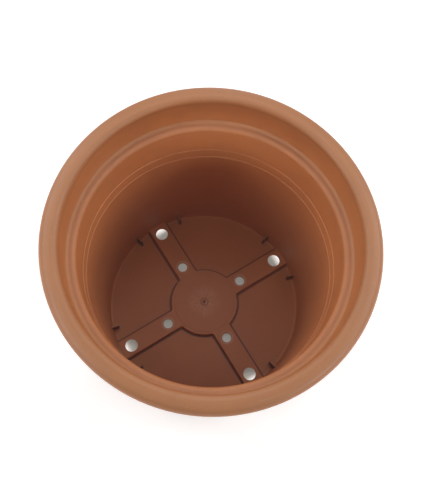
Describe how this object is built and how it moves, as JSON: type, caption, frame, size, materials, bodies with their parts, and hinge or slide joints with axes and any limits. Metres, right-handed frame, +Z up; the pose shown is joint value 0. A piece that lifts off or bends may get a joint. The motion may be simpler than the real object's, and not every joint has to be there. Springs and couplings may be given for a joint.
{
  "type": "plant pot",
  "caption": "Round tapered plastic plant pot with a rolled rim, an inner ledge, and a raised cross in the floor with drain holes.",
  "frame": {"origin": "centre of the foot plane, where the four floor pads stand on the ground", "axes": "+Z up along the pot's axis, out of its mouth; the drain spokes of the floor lie along +X, +Y, -X and -Y"},
  "size_m": [0.3, 0.3, 0.255],
  "materials": {
    "terracotta_plastic": "satin injection-moulded polypropylene in a terracotta colour"
  },
  "bodies": {
    "root": {"rim_roll": "terracotta_plastic", "rim_skirt": "terracotta_plastic", "rim_collar": "terracotta_plastic", "rim_ledge": "terracotta_plastic", "wall_band": "terracotta_plastic", "side_wall": "terracotta_plastic", "base_heel": "terracotta_plastic", "floor_hub": "terracotta_plastic", "floor_pad_1": "terracotta_plastic", "floor_pad_2": "terracotta_plastic", "floor_pad_3": "terracotta_plastic", "floor_pad_4": "terracotta_plastic", "drain_spoke_1": "terracotta_plastic", "drain_spoke_2": "terracotta_plastic", "drain_spoke_3": "terracotta_plastic", "drain_spoke_4": "terracotta_plastic", "stacking_lug_1": "terracotta_plastic", "stacking_lug_2": "terracotta_plastic", "stacking_lug_3": "terracotta_plastic", "stacking_lug_4": "terracotta_plastic", "stacking_lug_5": "terracotta_plastic", "stacking_lug_6": "terracotta_plastic", "stacking_lug_7": "terracotta_plastic", "stacking_lug_8": "terracotta_plastic"}
  },
  "joints": []
}
